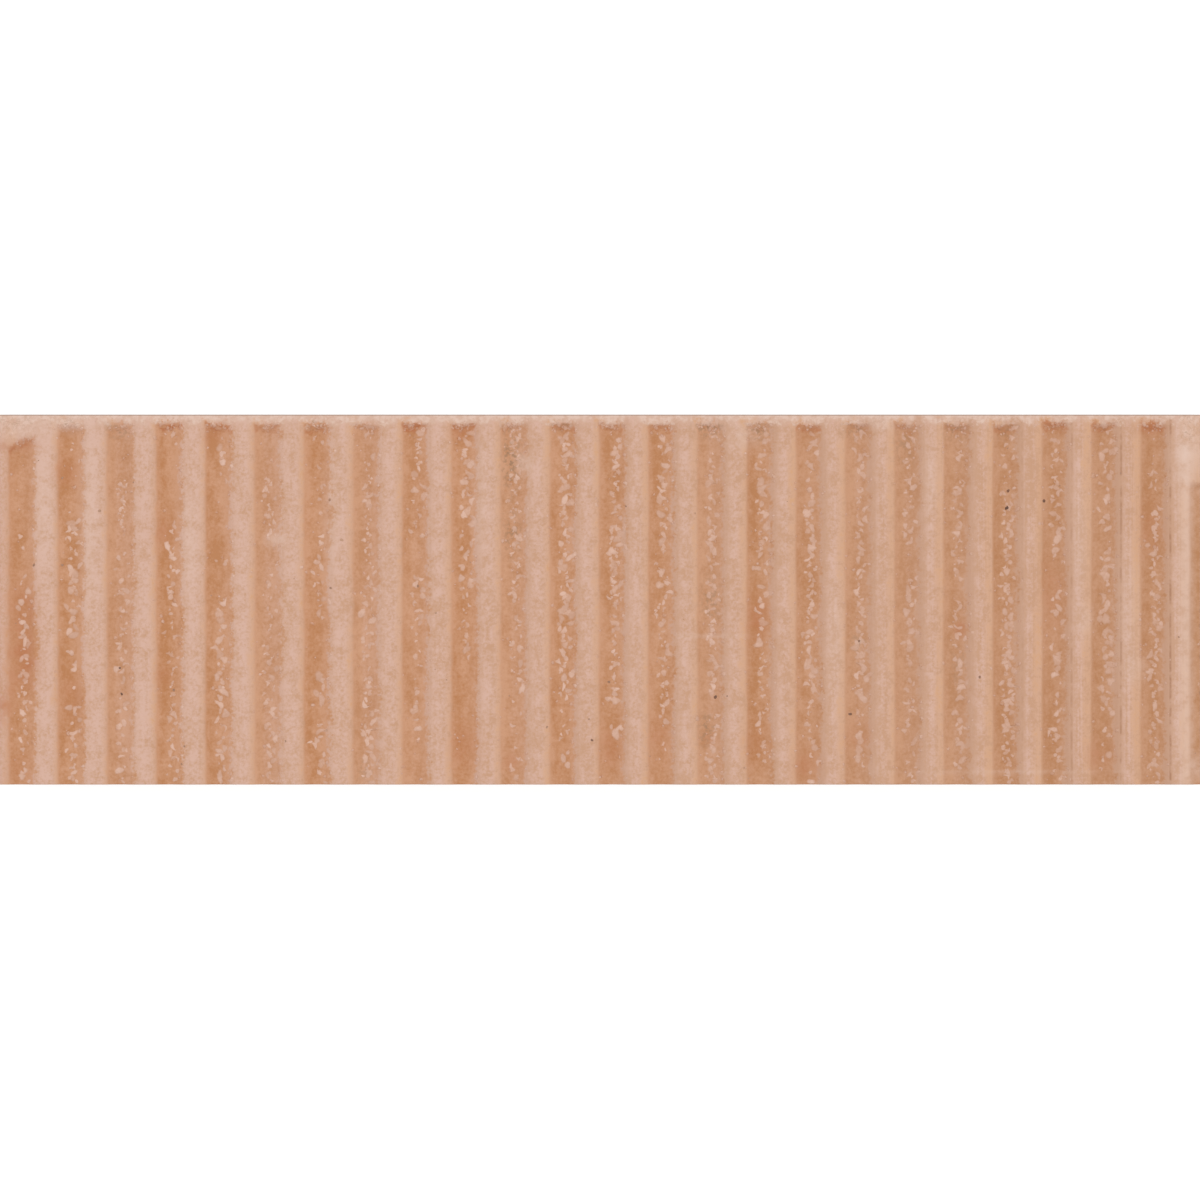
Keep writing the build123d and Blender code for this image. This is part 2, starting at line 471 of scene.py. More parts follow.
def lattice_lines(low, high, cells, back):
    """Lines across the back in one direction, and the share of the key's depth that each reaches.
    Each cell has a rib edge, a drafted wall and a floor edge on both sides."""
    wall = np.array((-0.12, 0.10, 0.33, 0.56)) * MM
    reach = ease((wall - wall[0]) / (wall[-1] - wall[0]))
    cell = (high - low - 2 * back.border - (cells - 1) * back.rib) / cells
    starts = low + back.border + np.arange(cells) * (cell + back.rib)
    near = starts[:, None] + wall
    far = (starts + cell)[:, None] - wall[::-1]
    places = np.concatenate((near, far), axis=1).ravel()
    shares = np.tile(np.concatenate((reach, reach[::-1])), cells)
    ends = ([low + back.bevel], [high - back.bevel])
    return np.concatenate((ends[0], places, ends[1])), np.concatenate(([0.0], shares, [0.0]))


def back_points(back):
    """Grid of back points, rows by columns: a cell is pressed in where both lines reach, unevenly."""
    x_lines, x_reach = lattice_lines(LEFT, RIGHT, back.columns, back)
    y_lines, y_reach = lattice_lines(CUT_EDGE, RIM_EDGE, back.rows, back)
    x, y = np.meshgrid(x_lines, y_lines)
    pressed = back.depth * np.minimum(x_reach[None, :], y_reach[:, None])
    small = soft_noise(x, y, cell=2.2 * MM, seed=31)
    broad = soft_noise(x, y, cell=9.0 * MM, seed=32)
    uneven = 1.0 + 0.05 * small - 0.1 * broad
    return np.stack((x, y, pressed * uneven), axis=-1)


def border_loop(rows, columns):
    """Numbers of a grid's border points, anticlockwise from its first point."""
    grid = np.arange(rows * columns).reshape(rows, columns)
    return np.concatenate((grid[0, :-1], grid[:-1, -1], grid[-1, :0:-1], grid[:0:-1, 0]))


def grid_quads(rows, columns, start=0):
    """Corner numbers of a grid's quads, anticlockwise."""
    grid = start + np.arange(rows * columns).reshape(rows, columns)
    corners = (grid[:-1, :-1], grid[:-1, 1:], grid[1:, 1:], grid[1:, :-1])
    return np.stack(corners, axis=-1).reshape(-1, 4)


def ring_quads(upper, lower):
    """Quads between two rings of the same count, facing out where the rings run anticlockwise."""
    return np.stack((np.roll(upper, -1), upper, lower, np.roll(lower, -1)), axis=-1)


def side_rings(border, bevel):
    """Rings of points down the sides, from the face's border to the top of the bevel. Each ring
    keeps the border's plan, worn in a little by noise except at the top and foot, and its height
    falls evenly."""
    worn = 0.09 * MM
    skin = 0.5 * MM
    fall = np.linspace(0.0, 1.0, SIDE_RINGS + 1)[1:, None]
    x = np.broadcast_to(border[:, 0], (SIDE_RINGS, len(border)))
    y = np.broadcast_to(border[:, 1], (SIDE_RINGS, len(border)))
    z = border[:, 2] * (1.0 - fall) + bevel * fall
    pitted = 0.5 + 0.5 * soft_noise(x + SIDE_SKEW * y, z, cell=1.6 * MM, seed=33)
    inwards = worn * ease(4.0 * fall) * ease(5.0 * (1.0 - fall)) * pitted
    x_side = ease((np.abs(x) - RIGHT + skin) / skin) * np.sign(x)
    y_side = ease((np.abs(y) - RIM_EDGE + skin) / skin) * np.sign(y)
    return np.stack((x - x_side * inwards, y - y_side * inwards, z), axis=-1)


def bevel_triangles(fine, coarse, ratios):
    """Triangles between a fine ring and a coarse one, one side of the tile after the other. Each
    coarse edge faces a whole number of fine edges, split between fans from its two ends."""
    triangles = []
    fine_start, coarse_start = 0, 0
    for coarse_steps, ratio in ratios:
        edges = np.arange(coarse_steps)
        first = coarse[(coarse_start + edges) % len(coarse)]
        second = coarse[(coarse_start + edges + 1) % len(coarse)]
        half = ratio // 2
        for step in range(ratio):
            near = fine[(fine_start + edges * ratio + step) % len(fine)]
            far = fine[(fine_start + edges * ratio + step + 1) % len(fine)]
            triangles.append(np.stack((far, near, first if step < half else second), axis=-1))
        middle = fine[(fine_start + edges * ratio + half) % len(fine)]
        triangles.append(np.stack((middle, first, second), axis=-1))
        fine_start += coarse_steps * ratio
        coarse_start += coarse_steps
    return np.concatenate(triangles)


def new_piece(name, points, *face_groups):
    """A smooth-shaded mesh object of points and of arrays of faces, one array for each corner count,
    with its edges left sharp past the sharp angle."""
    mesh = bpy.data.meshes.new(name)
    corners = np.concatenate([faces.ravel() for faces in face_groups])
    counts = np.concatenate([np.full(len(faces), faces.shape[1]) for faces in face_groups])
    starts = np.cumsum(counts) - counts
    mesh.vertices.add(len(points))
    mesh.vertices.foreach_set("co", points.astype(np.float32).ravel())
    mesh.loops.add(len(corners))
    mesh.loops.foreach_set("vertex_index", corners.astype(np.int32))
    mesh.polygons.add(len(counts))
    mesh.polygons.foreach_set("loop_start", starts.astype(np.int32))
    mesh.polygons.foreach_set("use_smooth", np.ones(len(counts), dtype=bool))
    mesh.update(calc_edges=True)
    if mesh.validate():
        raise RuntimeError(f"the mesh of {name} has faulty faces")
    mesh.set_sharp_from_angle(angle=SHARP_ANGLE)
    piece = bpy.data.objects.new(name, mesh)
    bpy.context.scene.collection.objects.link(piece)
    return piece


def paint(mesh, **layers):
    """Stores a number for each point under each name, for a material to read."""
    for name, values in layers.items():
        layer = mesh.attributes.new(name, "FLOAT", "POINT")
        layer.data.foreach_set("value", values.astype(np.float32))


def paint_glaze(mesh, points, flute):
    """Stores what the glaze needs at each point: the grooves counted so far, the millimetres below the
    groove's end, that groove's tone and end stain, the stains, and where the body is bare."""
    glaze_reach, face_slack = 1.6 * MM, 0.15 * MM
    x, y, z = points.T
    groove, _ = nearest_groove(x, y, flute)
    below_face = np.minimum(face_height(x, y, flute), TOP - 0.6 * flute.rim_arris) - z
    ragged = 0.35 * soft_noise(x + SIDE_SKEW * y, z, cell=1.1 * MM, seed=42)
    paint(
        mesh,
        groove=groove_count(x, y, flute),
        run=groove_run(x, y, flute) / MM,
        tone=np.array(GROOVE_TONES)[groove],
        end_stain=np.array(END_STAINS)[groove],
        rust=stain_strength(x, y, RUST_STAINS),
        grime=stain_strength(x, y, GRIME_STAINS),
        pale=stain_strength(x, y, PALE_STAINS_AND_HIGHLIGHT),
        bare=np.where(below_face > face_slack, ease(below_face / glaze_reach + ragged), 0.0),
    )


def new_finish(name):
    """A new material with a Principled shader, its tree and that shader."""
    material = bpy.data.materials.new(name)
    material.use_nodes = True
    tree = material.node_tree
    return material, tree, tree.nodes["Principled BSDF"]


def add_node(tree, kind, inputs, **settings):
    """A new node with its settings, and with each input set to a value or linked to a socket."""
    made = tree.nodes.new(kind)
    for name, value in settings.items():
        setattr(made, name, value)
    for key, value in inputs.items():
        if isinstance(value, bpy.types.NodeSocket):
            tree.links.new(value, made.inputs[key])
        else:
            made.inputs[key].default_value = value
    return made


def opaque(colour):
    """A colour with full cover, as a colour socket takes it."""
    return colour if isinstance(colour, bpy.types.NodeSocket) else (*colour, 1.0)


def mixed(tree, share, first, second):
    """Colour that goes from the first to the second as the share goes from 0 to 1."""
    inputs = {0: share, 6: opaque(first), 7: opaque(second)}
    return add_node(tree, "ShaderNodeMix", inputs, data_type="RGBA").outputs[2]


def reckon(tree, operation, first, second=0.0, third=0.0):
    """A sum, difference, product or the like of numbers."""
    return add_node(tree, "ShaderNodeMath", {0: first, 1: second, 2: third}, operation=operation).outputs[0]


def product(tree, *factors):
    """All the factors multiplied together."""
    total = factors[0]
    for factor in factors[1:]:
        total = reckon(tree, "MULTIPLY", total, factor)
    return total


def swayed(tree, start, *sways):
    """The start, plus each noise's distance from a half times its weight."""
    total = start
    for noise, weight in sways:
        total = reckon(tree, "MULTIPLY_ADD", reckon(tree, "SUBTRACT", noise, 0.5), weight, total)
    return total


def apart(tree, first, second):
    """How far apart two numbers are."""
    return reckon(tree, "ABSOLUTE", reckon(tree, "SUBTRACT", first, second))


def ramp(tree, value, span, ends=(0.0, 1.0)):
    """Number that eases from one end to the other as the value goes over the span."""
    low, high = span
    bottom, top = ends
    inputs = {"Value": value, "From Min": low, "From Max": high, "To Min": bottom, "To Max": top}
    return add_node(tree, "ShaderNodeMapRange", inputs, interpolation_type="SMOOTHSTEP").outputs[0]


def tile_place(tree):
    """Places fixed to the tile, in metres."""
    return add_node(tree, "ShaderNodeTexCoord", {}).outputs["Object"]


def tile_axes(tree):
    """The three numbers of a place fixed to the tile."""
    return add_node(tree, "ShaderNodeSeparateXYZ", {0: tile_place(tree)}).outputs


def millimetres_short(tree, limit, coordinate):
    """Millimetres by which a coordinate falls short of a limit."""
    return reckon(tree, "DIVIDE", reckon(tree, "SUBTRACT", limit, coordinate), MM)


def mottling(tree, scale, detail=2.0, stretch=(1.0, 1.0, 1.0), roughness=0.6):
    """Noise fixed to the tile, with that many blotches to a metre, times the stretch on each axis."""
    place = add_node(tree, "ShaderNodeMapping", {"Vector": tile_place(tree), "Scale": stretch}).outputs[0]
    inputs = {"Vector": place, "Scale": scale, "Detail": detail, "Roughness": roughness}
    return add_node(tree, "ShaderNodeTexNoise", inputs).outputs[0]


def painted(tree, name):
    """The number that the mesh stores under that name."""
    return add_node(tree, "ShaderNodeAttribute", {}, attribute_name=name).outputs["Fac"]


def shaded(tree, colour, value):
    """The colour made lighter or darker by a factor."""
    return add_node(tree, "ShaderNodeHueSaturation", {"Color": colour, "Value": value}).outputs[0]


def roughened(tree, shader, height, strength, depth):
    """Fine relief on the shader's normal, as deep as given."""
    inputs = {"Height": height, "Strength": strength, "Distance": depth}
    relief = add_node(tree, "ShaderNodeBump", inputs)
    tree.links.new(relief.outputs[0], shader.inputs["Normal"])


def groove_offset(tree, pitch):
    """Millimetres right of the nearest groove's middle."""
    part = reckon(tree, "FRACT", reckon(tree, "ADD", painted(tree, "groove"), 0.5))
    return reckon(tree, "MULTIPLY", reckon(tree, "SUBTRACT", part, 0.5), pitch / MM)


def groove_band(tree, offset, grain, mottle, drift):
    """1 in a groove's colour band and 0 on the ridges: a straight left side and a ragged right side,
    which wanders along the groove. Along the tile both come further to the left, by so many
    millimetres to a metre."""
    left_side, right_side = (-2.37, -1.77), (1.65, 2.45)
    left_lean, right_lean = 2.0, 5.2
    along = tile_axes(tree)[0]
    left = reckon(tree, "MULTIPLY_ADD", along, left_lean, offset)
    left = swayed(tree, left, (mottle, 0.9), (grain, 0.5))
    right = reckon(tree, "MULTIPLY_ADD", along, right_lean, offset)
    right = swayed(tree, right, (drift, 2.6), (mottle, 2.6), (grain, 2.0))
    return product(tree, ramp(tree, left, left_side), ramp(tree, right, right_side, FALLING))


def ridge_colour(tree, colours, offset, grain, mottle, drift):
    """Thin glaze of the ridges: pink, warming to tan along the tile, with streaks, a darker, duller left
    lip that grows along the tile, partly painted shade on the ridges' left shoulders and partly a duller
    glaze, and a golden right lip that broadens along it. The left lip lies right of a groove's middle, and
    the right lip left of the next one's."""
    left_lip_span, right_lip_span = (2.4, 4.0), (-3.7, -2.3)
    warming, pink_share, broadening = -1.8, 0.53, 6.0
    along = tile_axes(tree)[0]
    streaks = mottling(tree, 1.0, detail=3.0, stretch=(2000.0, 30.0, 1.0))
    streaked = ramp(tree, along, (0.02, 0.08), (0.4, 2.2))
    pink = reckon(tree, "MULTIPLY_ADD", along, warming, pink_share)
    pink = swayed(tree, pink, (drift, 1.4), (mottle, 2.4), (grain, 2.5), (streaks, streaked))
    glaze = mixed(tree, pink, colours.ridge_tan, colours.ridge_pink)
    # Left lip: partly painted shade on the ridge's left shoulder, partly a duller glaze
    left_lip = ramp(tree, swayed(tree, offset, (mottle, 1.0)), left_lip_span, FALLING)
    right_of_groove = ramp(tree, offset, (0.0, 1.0))
    growth = ramp(tree, along, (-0.1, 0.1), (0.25, 0.9))
    glaze = mixed(tree, product(tree, left_lip, right_of_groove, growth), glaze, colours.lip_dull)
    broader = reckon(tree, "MULTIPLY_ADD", along, broadening, offset)
    right_lip = ramp(tree, swayed(tree, broader, (mottle, 2.0), (drift, 2.0)), right_lip_span)
    left_of_groove = ramp(tree, offset, (-1.0, 0.0), FALLING)
    uneven = swayed(tree, 0.5, (drift, 1.2), (mottle, 1.5), (grain, 1.8))
    return mixed(tree, product(tree, right_lip, left_of_groove, uneven), glaze, colours.lip_golden)


def hollow_colour(tree, colours, offset, grain, mottle, drift):
    """Pooled glaze of the grooves: deepest left of the middle, painted lighter up the flanks to offset the
    shade that the relief gives them, clouding over towards the right, and duller along the tile."""
    across = ramp(tree, offset, (-1.2, 1.8), (0.39, 0.61))
    # Painted light: the flanks are made lighter against the shade that falls on their slopes
    flank = ramp(tree, reckon(tree, "ABSOLUTE", offset), (0.8, 1.9), (0.0, 0.3))
    cloudy = reckon(tree, "ADD", across, flank)
    cloudy = swayed(tree, cloudy, (drift, 2.0), (mottle, 1.8), (grain, 1.7))
    glaze = mixed(tree, cloudy, colours.hollow_deep, colours.hollow)
    dulled = ramp(tree, tile_axes(tree)[0], (-0.03, 0.08), (0.0, 0.14))
    return mixed(tree, dulled, glaze, colours.grime)


def crumbly_crust(tree, colours, inset):
    """Pale crust, which near the rim has duller crumbs, and in its pale smears also fine cracks, where
    a noise passes its middle value."""
    near_rim = ramp(tree, inset, (3.0, 7.0), FALLING)
    crumble = ramp(tree, mottling(tree, 1100.0), (0.4, 0.65), (0.0, 0.45))
    crust = mixed(tree, product(tree, crumble, near_rim), colours.rim, colours.lip_dull)
    crack = ramp(tree, apart(tree, mottling(tree, 700.0), 0.5), (0.0, 0.03), (0.6, 0.0))
    crack = product(tree, crack, near_rim, painted(tree, "pale"))
    return mixed(tree, crack, crust, colours.grime)


def stained(tree, colours, glaze, crust, band, grain, mottle):
    """The glaze with its pale smears and the painted highlight down the last ridge, the stains of the
    grooves' ends, the other iron stains and the grey pits, in the order they lie."""
    end_stain_run = 0.6
    # Pale smears, and the painted highlight down the last ridge
    pale = product(tree, painted(tree, "pale"), ramp(tree, mottle, (0.25, 0.6), (0.4, 1.0)))
    glaze = mixed(tree, pale, glaze, crust)
    run = swayed(tree, painted(tree, "run"), (mottle, 3.0), (grain, 1.0))
    end_line = ramp(tree, apart(tree, run, end_stain_run), (0.2, 1.0), FALLING)
    broken = ramp(tree, mottling(tree, 900.0), (0.38, 0.62), (0.15, 0.95))
    end_stain = product(tree, band, end_line, painted(tree, "end_stain"), broken)
    glaze = mixed(tree, end_stain, glaze, colours.rust)
    rust = product(tree, painted(tree, "rust"), ramp(tree, mottle, (0.3, 0.7), (0.3, 1.0)))
    glaze = mixed(tree, rust, glaze, colours.rust)
    pits = ramp(tree, mottling(tree, 1500.0), (0.45, 0.65))
    return mixed(tree, product(tree, painted(tree, "grime"), pits), glaze, colours.grime)


def rimmed(tree, colours, glaze, crust, inset, grain, mottle):
    """The glaze with its pale crust on the rim, and a dark line of painted shade on the rounding of the
    rimmed edge.
    """
    pale = ramp(tree, swayed(tree, inset, (mottle, 5.0), (grain, 3.0)), (0.2, 1.9), (0.9, 0.0))
    glaze = mixed(tree, pale, glaze, crust)
    below = millimetres_short(tree, TOP, tile_axes(tree)[2])
    # Painted shade: a dark line on the rim's rounded edge, where the face turns down
    arris_shade_line = ramp(tree, inset, (0.06, 0.22), (0.85, 0.0))
    on_arris = ramp(tree, below, (0.4, 0.7), FALLING)
    return mixed(tree, product(tree, arris_shade_line, on_arris), glaze, colours.arris)


def scored(tree, colours, glaze, offset):
    """The glaze with thin lines scored along the lips of the ridges, towards the right of the tile."""
    lip = 2.7
    span = tuple(float(on_tile(column, PHOTO_RIM_ROW)[0]) for column in SCORED_COLUMNS)
    line = ramp(tree, apart(tree, offset, lip), (0.04, 0.3), FALLING)
    strength = ramp(tree, tile_axes(tree)[0], span, (0.1, 0.8))
    broken = ramp(tree, mottling(tree, 500.0, detail=3.0), (0.38, 0.62), (0.1, 1.0))
    return mixed(tree, product(tree, line, strength, broken), glaze, colours.score)


def glaze_colour(tree, settings, grain, mottle):
    """Matt glaze of the face: ridges, grooves, scored lips, stains, rim and slip, in the order they lie."""
    colours = settings.colours
    drift = mottling(tree, 1.0, detail=3.0, stretch=(300.0, 75.0, 1.0))
    offset = groove_offset(tree, settings.flute.pitch)
    ridge = ridge_colour(tree, colours, offset, grain, mottle, drift)
    hollow = hollow_colour(tree, colours, offset, grain, mottle, drift)
    band = groove_band(tree, offset, grain, mottle, drift)
    run = swayed(tree, painted(tree, "run"), (drift, 2.5), (mottle, 4.0), (grain, 2.0))
    open_end = ramp(tree, run, (-0.2, 0.6))
    glaze = mixed(tree, product(tree, band, open_end, painted(tree, "tone")), ridge, hollow)
    glaze = scored(tree, colours, glaze, offset)
    inset = millimetres_short(tree, RIM_EDGE, tile_axes(tree)[1])
    crust = crumbly_crust(tree, colours, inset)
    glaze = stained(tree, colours, glaze, crust, band, grain, mottle)
    glaze = rimmed(tree, colours, glaze, crust, inset, grain, mottle)
    # Painted shade at the foot of each slip blob: the glaze darkens round its edge and root, which also
    # stands for glaze pooled there
    glaze = shaded(tree, glaze, ramp(tree, painted(tree, "slip_edge"), (0.0, 1.0), (1.0, 0.86)))
    slip_tone = swayed(tree, painted(tree, "slip_tone"), (mottle, 1.2), (grain, 1.2))
    slip = mixed(tree, slip_tone, colours.slip, colours.slip_bright)
    return mixed(tree, painted(tree, "slip_cover"), glaze, slip)


def biscuit_colour(tree, colours, grain, mottle):
    """Bare fired clay: buff with darker grains, fine pores and a faint banding from the press."""
    bands = mottling(tree, 1.0, stretch=(60.0, 60.0, 1500.0))
    pores = mottling(tree, 2600.0, detail=1.0)
    clay = mixed(tree, ramp(tree, mottle, (0.35, 0.75), (0.0, 0.5)), colours.biscuit, colours.biscuit_dark)
    clay = mixed(tree, ramp(tree, bands, (0.5, 0.75), (0.0, 0.35)), clay, colours.biscuit_dark)
    clay = mixed(tree, ramp(tree, pores, (0.62, 0.72), (0.0, 0.6)), clay, colours.grime)
    return shaded(tree, clay, ramp(tree, grain, (0.2, 0.8), (0.84, 1.12)))


def glaze_finish(settings):
    """Finish of the tile and its slip: matt glaze that gives way to bare clay down the sides."""
    material, tree, shader = new_finish(GLAZE_NAME)
    grain = mottling(tree, 1900.0, roughness=0.7)
    mottle = mottling(tree, 520.0, detail=4.0)
    glaze = glaze_colour(tree, settings, grain, mottle)
    clay = biscuit_colour(tree, settings.colours, grain, mottle)
    bare = ramp(tree, painted(tree, "bare"), (0.3, 0.6))
    tree.links.new(mixed(tree, bare, glaze, clay), shader.inputs["Base Color"])
    tree.links.new(ramp(tree, mottle, (0.3, 0.7), (0.66, 0.86)), shader.inputs["Roughness"])
    shader.inputs["Specular IOR Level"].default_value = 0.25
    roughened(tree, shader, reckon(tree, "ADD", grain, mottle), strength=0.5, depth=0.06 * MM)
    return material


def speck_finish(colours):
    """Finish of the iron specks: dark brown melt with rusty patches, veiled by glaze where faint."""
    material, tree, shader = new_finish("iron_speck")
    mottle = mottling(tree, 5000.0)
    melt = mixed(tree, ramp(tree, mottle, (0.5, 0.8)), colours.speck, colours.rust)
    veiled = mixed(tree, painted(tree, "faint"), melt, colours.lip_dull)
    tree.links.new(veiled, shader.inputs["Base Color"])
    tree.links.new(ramp(tree, mottle, (0.3, 0.7), (0.6, 0.8)), shader.inputs["Roughness"])
    roughened(tree, shader, mottle, strength=0.3, depth=0.03 * MM)
    return material


def dress(piece, finish):
    """Puts the finish on a piece, and fixes the piece to the tile's body."""
    piece.data.materials.append(finish)
    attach(piece, BODY)


class Blobs(NamedTuple):
    """Many small blobs on the face: one array each of places, headings, sizes and bends."""

    x: np.ndarray
    y: np.ndarray
    heading: np.ndarray
    length: np.ndarray
    width: np.ndarray
    height: np.ndarray
    curl: np.ndarray


def joined(*groups):
    """Groups of blobs put together as one."""
    return Blobs(*(np.concatenate(arrays) for arrays in zip(*groups)))


def fleck_run(middle, run, slip, draw):
    """Flecks of one run: spread evenly down the groove with a jitter, to the left and right of its
    middle by turns, and a little towards the middle of the tile. Slender ones are longer, narrower
    and more bent."""
    pull = 0.0025
    lean, swing, scatter, farthest = 0.9, 0.7, 0.8, (-1.6, 3.0)
    first_row, last_row, per_centimetre, size = run
    upper, lower = on_tile(0, first_row)[1], on_tile(0, last_row)[1]
    count = max(2, round(slip.crowding * per_centimetre * (upper - lower) / (10.0 * MM)))
    order = np.arange(count)
    sizes = size * np.clip(draw.lognormal(-0.08, 0.35, count), 0.4, 1.5)
    slender = draw.uniform(0.0, 1.0, count)
    by_turns = swing * (-1.0) ** order
    across = np.clip(lean + by_turns + draw.normal(0.0, scatter, count), *farthest) * slip.spread
    return Blobs(
        x=middle * (1.0 - pull) + across,
        y=lower + (upper - lower) * (order + draw.uniform(0.1, 0.9, count)) / count,
        heading=np.pi / 2 + draw.normal(0.0, 0.8, count),
        length=slip.length * sizes * (0.75 + 0.35 * slender),
        width=slip.width * sizes * (1.15 - 0.35 * slender),
        height=slip.height * np.sqrt(sizes),
        curl=draw.normal(0.0, 0.15 + 0.55 * slender, count),
    )


def side_branches(flecks, slip, draw):
    """A smaller fleck for a share of the flecks, which starts near one end and leads away aslant."""
    chosen = draw.uniform(0.0, 1.0, len(flecks.x)) < slip.branches
    parents = Blobs(*(values[chosen] for values in flecks))
    count = len(parents.x)
    heading = parents.heading + draw.choice((-1.0, 1.0), count) * draw.uniform(0.8, 1.9, count)
    reach = parents.length * draw.uniform(0.2, 0.4, count)
    return parents._replace(
        x=parents.x + reach * (np.cos(parents.heading) + np.cos(heading)),
        y=parents.y + reach * (np.sin(parents.heading) + np.sin(heading)),
        heading=heading,
        length=0.75 * parents.length,
        width=0.7 * parents.width,
    )


def slip_crumbs(flute, slip, draw):
    """Crumbs of slip: most strewn over the grooves' floors, some along the ridges' lips, which are the
    left ones at first and both ones further along, some at the grooves' ends, and some along the rim."""
    pull = 0.0028
    lip_share, end_share, rim_share = 0.42, 0.17, 0.17
    floor_middle, floor_spread, farthest = 0.3 * MM, 1.1 * MM, (-1.6 * MM, 2.2 * MM)
    grooves = len(GROOVE_TONES) - 1
    count = grooves * slip.crumbs
    groove = np.repeat(np.arange(grooves), slip.crumbs)
    middle = LEFT + flute.first_inset + groove * flute.pitch
    left_lip, right_lip = 2.25 * MM - pull * middle, -2.2 * MM
    kind = draw.uniform(0.0, 1.0, count)
    on_rim = kind < rim_share
    on_end = (kind >= rim_share) & (kind < rim_share + end_share)
    on_lip = kind > 1.0 - lip_share
    floor = np.clip(draw.normal(floor_middle, floor_spread, count), *farthest)
    lip = np.where(draw.uniform(0.0, 2.0, count) < groove / grooves, right_lip, left_lip)
    across = np.where(on_lip, lip + draw.normal(0.0, 0.3, count) * MM, floor)
    in_groove = middle + across
    down_groove = draw.uniform(CUT_EDGE + 0.5 * MM, RIM_EDGE - 2.0 * flute.rim_width, count)
    slanted_land = flute.first_land - across * np.tan(flute.first_slant)
    land = np.where(groove == 0, slanted_land, flute.rim_width) + draw.normal(0.4, 0.5, count) * MM
    inset = flute.rim_arris + draw.gamma(2.0, 0.7, count) * MM
    size = slip.crumb * draw.lognormal(-0.05, 0.3, count)
    return Blobs(
        x=np.where(on_rim, draw.uniform(LEFT, RIGHT, count), in_groove),
        y=np.where(on_rim, RIM_EDGE - inset, np.where(on_end, RIM_EDGE - land, down_groove)),
        heading=draw.uniform(0.0, np.pi, count),
        length=1.25 * size,
        width=size,
        height=0.22 * size,
        curl=draw.normal(0.0, 0.3, count),
    )


def iron_specks(draw):
    """The iron specks that stand out, fine ones strewn over the face, and how faint each one is."""
    column, row, radius, faint = np.array(IRON_SPECKS).T
    column = np.concatenate((column, draw.uniform(0.0, PHOTO_SIZE, FINE_SPECKS)))
    row = np.concatenate((row, draw.uniform(*FINE_SPECK_ROWS, FINE_SPECKS)))
    radius = np.concatenate((radius, draw.uniform(*FINE_SPECK_RADII, FINE_SPECKS))) * PIXEL
    faint = np.concatenate((faint, draw.uniform(*FINE_SPECK_FAINTNESS, FINE_SPECKS)))
    x, y = on_tile(column, row)
    count = len(radius)
    specks = Blobs(
        x=x,
        y=y,
        heading=draw.uniform(0.0, np.pi, count),
        length=2.1 * radius,
        width=1.9 * radius,
        height=0.4 * radius,
        curl=np.zeros(count),
    )
    return specks, faint


def blob_points(blobs, around, flute, draw):
    """Points of every blob: a crown, a shoulder ring, an edge ring and a root under the middle.

    The outline is a circle with random waves round it, stretched to the blob's length and width,
    bent into an arc by the square of the distance along it, and turned to the blob's heading.
    Heights are measured from the face, and the edge is seated a little below it. A blob rises by
    its height, or by most of what is left below the tile's top.
    """
    margin = 0.15 * MM
    count = len(blobs.x)
    turn = np.linspace(0.0, 2.0 * np.pi, around, endpoint=False)
    outline = np.ones((count, around))
    for waves, depth in OUTLINE_WAVES:
        start = draw.uniform(0.0, 2.0 * np.pi, (count, 1))
        outline += draw.normal(0.0, depth, (count, 1)) * np.cos(waves * turn + start)
    outline = np.clip(outline, *OUTLINE_LIMITS)
    middle = np.zeros((count, 1))
    reach = np.concatenate((middle, SHOULDER_REACH * outline, outline, middle), axis=1)
    turns = np.concatenate(([0.0], turn, turn, [0.0]))
    along = reach * np.cos(turns)
    across = (reach * np.sin(turns) + blobs.curl[:, None] * along**2) * blobs.width[:, None] / 2
    along = along * blobs.length[:, None] / 2
    cosine, sine = np.cos(blobs.heading)[:, None], np.sin(blobs.heading)[:, None]
    x = np.clip(blobs.x[:, None] + along * cosine - across * sine, LEFT + margin, RIGHT - margin)
    y = blobs.y[:, None] + along * sine + across * cosine
    y = np.clip(y, CUT_EDGE + margin, RIM_EDGE - flute.rim_arris)
    lift = np.repeat((1.0, SHOULDER_HEIGHT, -EDGE_DEPTH, -ROOT_DEPTH), (1, around, around, 1))
    face = face_height(x, y, flute)
    height = np.broadcast_to(blobs.height[:, None], x.shape)
    rise = np.minimum(height, MOST_ROOM * (TOP - face))
    return np.stack((x, y, face + lift * np.where(lift > 0.0, rise, height)), axis=-1)


def blob_faces(count, around):
    """Quads of the blobs' slopes, and triangles of their crowns and roots, facing out."""
    size = 2 * around + 2
    shoulder = 1 + np.arange(around)
    edge = shoulder + around
    next_shoulder, next_edge = np.roll(shoulder, -1), np.roll(edge, -1)
    crown = np.stack((np.zeros(around, dtype=int), shoulder, next_shoulder), axis=-1)
    root = np.stack((np.full(around, size - 1), next_edge, edge), axis=-1)
    slope = np.stack((shoulder, edge, next_edge, next_shoulder), axis=-1)
    start = size * np.arange(count)[:, None, None]
    return (start + slope).reshape(-1, 4), (start + np.concatenate((crown, root))).reshape(-1, 3)


